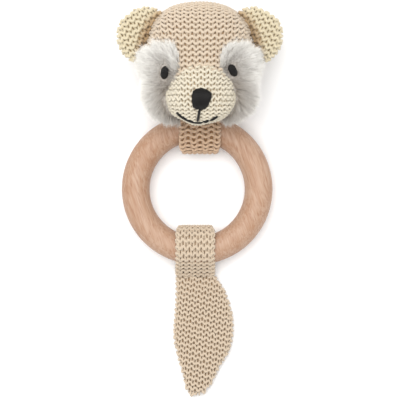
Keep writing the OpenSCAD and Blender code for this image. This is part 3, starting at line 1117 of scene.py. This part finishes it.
class RATTLE_OT_tail(bpy.types.Operator):
    """Knits the tail's band and its two-layer blade"""

    bl_idname = "rattle.tail"
    bl_label = "Tail"

    def execute(self, context):
        sizes = context.scene.rattle_knit
        yarn = spun_yarn("beige_cotton_yarn", sizes.beige)
        painted_shade_sheet = painted_shade_cloth("beige_knit_painted_shade", sizes.beige, 0.42)
        outer = (TAIL_LOOP_HIGH - TAIL_LOOP_LOW)[2] / 2
        z = (TAIL_LOOP_HIGH + TAIL_LOOP_LOW)[2] / 2
        seam_z = BLADE_HIGH[2] / 2
        circles = [(TAIL_LOOP_HIGH[1] - outer, z, outer - 1.2), (SEAM_Y + 0.2, seam_z + 0.3, 0.6)]
        finish = (yarn, painted_shade_sheet, "knit_beige")
        names = ("tail_band", "tail_band", "tail_loop")
        knit_band(*names, circles, gauge_of(sizes, "loop"), finish, inward=1, start=270, seed=61)

        levels = np.linspace(BLADE_LOW[1] + 0.05, BLADE_HIGH[1] - 0.05, 90)
        left, right = np.array([node_span("tail_front_panel", level) for level in levels]).T
        turn = np.linspace(-math.pi / 2, math.pi / 2, 91)
        thick_share, fullness = 0.26, 2 / 2.4
        across = np.sign(turn) * np.abs(np.sin(turn)) ** fullness
        up = thick_share * np.cos(turn) ** fullness
        arc = running(np.hypot(np.diff(across), np.diff(up)))
        arc -= arc[-1] / 2
        gauge = gauge_of(sizes, "tail")
        tip = BLADE_LOW[1]
        row_slope, column_slope = 0.23, 0.1
        # The blade is fullest over its middle, and thin at its tip and its seam.
        stations = [tip, tip + 1.5, -87, -78, -46, -38, SEAM_Y]
        half_thick = [0.1, 1.0, 1.7, 2.3, 2.3, 1.2, 0.6]

        def width_at(y, margin):
            """Half the blade's width and its middle at each y, a margin inside its outline."""
            low, high = np.interp(y, levels, left) + margin, np.interp(y, levels, right) - margin
            return (high - low) / 2, (high + low) / 2

        def share_at(u, y):
            """Where a stitch lies along the arc across the blade."""
            half, middle = width_at(y, gauge[2])
            return (u + 0.5 + column_slope * (y - BLADE_HIGH[1]) - middle) / np.maximum(half, 0.3)

        def blade(side):
            def place(u, v):
                y = np.clip(np.clip(v, tip + 0.3, None) - row_slope * u, tip + 0.3, SEAM_Y)
                half, middle = width_at(y, gauge[2])
                share = np.clip(share_at(u, y), arc[0], arc[-1])
                thick = np.interp(y, stations, half_thick)
                height = seam_z + side * thick * np.interp(share, arc, up / thick_share)
                return np.stack([middle + half * np.interp(share, arc, across), y, height], -1)

            return place

        def keep_blade(u, v):
            y = v - row_slope * u
            share = share_at(u, y)
            return (share > arc[0]) & (share < arc[-1]) & (y > tip + 0.8) & (y < SEAM_Y)

        for side, name in ((1, "tail_front_panel"), (-1, "tail_back_panel")):
            draft = Draft()
            extent = ((-22, 22), (tip - 6, SEAM_Y + 6))
            knit(draft, blade(side), gauge, extent, keep_blade, 71 + side, facing=side)
            # Painted shade: a darker sheet under the yarn, seen through the knit's holes.
            y = np.linspace(tip + 2.6, SEAM_Y - 0.2, 60)
            half, middle = width_at(y, 1.2)
            thick = np.interp(y, [y[0], y[0] + 3, -78, -46, -38, SEAM_Y], [0.1, 0.9, 1.6, 1.6, 0.6, 0.1])
            spread = np.linspace(-math.pi / 2, math.pi / 2, 25)
            inner = np.stack([
                middle[:, None] + half[:, None] * np.sin(spread),
                y[:, None] + 0 * spread,
                seam_z + side * thick[:, None] * np.cos(spread),
            ], -1)
            draft.grid(inner[::side], slot=1)
            knitted = name.replace("panel", "knit")
            made = draft.piece(knitted, [yarn, painted_shade_sheet], "knit_beige", None, [name])
            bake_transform(made)
        return {"FINISHED"}


class RATTLE_OT_inside(bpy.types.Operator):
    """Fills the head, muzzle and tail, and finishes the rattle capsule"""

    bl_idname = "rattle.inside"
    bl_label = "Filling and capsule"

    def execute(self, context):
        white, shaded = linear("#f4f3ef"), linear("#d8d6cf")
        fill = mottled("polyester_fibre_fill", white, shaded, 0.6, {"Roughness": 0.95}, 0.3)
        fillings = [
            ("head_filling", "head_stuffing", "head"),
            ("muzzle_filling", "muzzle_stuffing", "head"),
            ("tail_filling", "tail_wadding", "tail"),
        ]
        for name, node, body in fillings:
            low, high = node_box(node)
            middle, semi = (low + high) / 2, (high - low) / 2 - 1.0
            d = directions(64, np.linspace(0.02, math.pi - 0.02, 40))
            swell = 1 + lumps(d * 20, 9, 0.02, 81)
            draft = Draft()
            draft.grid(middle + d * semi * swell[..., None], wrap=True)
            made = draft.piece(name, [fill], "polyester_fill", body, [node])
        moulded = {"Roughness": 0.4, "Specular IOR Level": 0.5}
        shell = mottled("moulded_polypropylene", linear("#f2f2ee"), linear("#eaeae6"), 3.0, moulded, 0.02)
        metal = {"Metallic": 1.0, "Roughness": 0.3}
        steel = mottled("tumbled_steel", linear("#c9cbce"), linear("#b2b5b8"), 0.8, metal, 0.02)
        thread = satin_floss("beige_sewing_thread", linear("#c9ab88"))
        finishes = {
            "capsule_front_shell": shell, "capsule_back_shell": shell, "rattle_pellets": steel,
            "neck_seam_thread": thread, "tail_seam_thread": thread,
        }
        for node, material in finishes.items():
            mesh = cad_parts[node].data
            mesh.materials.clear()
            mesh.materials.append(material)
        return {"FINISHED"}


class RATTLE_OT_stage(bpy.types.Operator):
    """Sets up the floor, the soft studio light and the camera"""

    bl_idname = "rattle.stage"
    bl_label = "Stage"

    def execute(self, context):
        scene = context.scene
        setup = scene.rattle_stage
        side = np.linspace(-30000, 30000, 9)
        x, y = np.meshgrid(side, side)
        draft = Draft()
        draft.grid(np.stack([x, y, np.full(x.shape, -0.3)], -1))
        tint = tuple(setup.floor)
        shade = tuple(c * 0.985 for c in tint[:3]) + (1.0,)
        matt = {"Roughness": 1.0, "Specular IOR Level": 0.0}
        paint = mottled("matt_floor_paint", tint, shade, 40, matt, 0.01)
        draft.piece("floor", [paint], None, None)

        world = bpy.data.worlds.new("studio_fill")
        world.use_nodes = True
        background = world.node_tree.nodes["Background"].inputs
        background["Color"].default_value = (1, 1, 1, 1)
        background["Strength"].default_value = setup.sky
        scene.world = world
        light = bpy.data.lights.new("softbox", "AREA")
        light.shape, light.size, light.energy = "DISK", 1.6, setup.key_power
        box = bpy.data.objects.new("softbox", light)
        box.location = (-0.22, 0.32, 1.58)
        aim = np.array(box.location)
        box.rotation_euler = (-math.atan2(aim[1], aim[2]), math.atan2(aim[0], math.hypot(aim[1], aim[2])), 0)
        box.visible_camera = False
        scene.collection.objects.link(box)

        lens = bpy.data.cameras.new("camera")
        lens.lens, lens.sensor_width = 800, 36
        camera = bpy.data.objects.new("camera", lens)
        height = setup.view_width * lens.lens / lens.sensor_width
        camera.location = (0.0001, -0.0002, RING_C[2] * MM + height)
        lens.clip_end = 100
        scene.collection.objects.link(camera)
        scene.camera = camera
        scene.view_settings.view_transform = "Standard"
        return {"FINISHED"}


class RATTLE_PT_panel(bpy.types.Panel):
    """Lists the rattle's pieces in the sidebar"""

    bl_idname = "RATTLE_PT_panel"
    bl_label = "Knitted Rattle"
    bl_space_type = "VIEW_3D"
    bl_region_type = "UI"
    bl_category = "Rattle"

    def draw(self, context):
        for group in SETTINGS:
            settings = getattr(context.scene, group)
            for name in settings.bl_rna.properties.keys():
                if name not in ("rna_type", "name"):
                    self.layout.prop(settings, name)
        for operator in OPERATORS:
            self.layout.operator(operator.bl_idname)


SETTINGS = {"rattle_knit": RattleKnit, "rattle_trim": RattleTrim, "rattle_stage": RattleStage}
OPERATORS = (
    RATTLE_OT_ring,
    RATTLE_OT_head,
    RATTLE_OT_muzzle,
    RATTLE_OT_ears,
    RATTLE_OT_fur,
    RATTLE_OT_face,
    RATTLE_OT_neck,
    RATTLE_OT_tail,
    RATTLE_OT_inside,
    RATTLE_OT_stage,
)


def register():
    for name, group in SETTINGS.items():
        bpy.utils.register_class(group)
        setattr(bpy.types.Scene, name, PointerProperty(type=group))
    for made in (*OPERATORS, RATTLE_PT_panel):
        bpy.utils.register_class(made)


def unregister():
    for made in (RATTLE_PT_panel, *reversed(OPERATORS)):
        bpy.utils.unregister_class(made)
    for name, group in SETTINGS.items():
        delattr(bpy.types.Scene, name)
        bpy.utils.unregister_class(group)


def main():
    register()
    for operator in OPERATORS:
        group, name = operator.bl_idname.split(".")
        getattr(getattr(bpy.ops, group), name)()


if __name__ == "__main__":
    main()
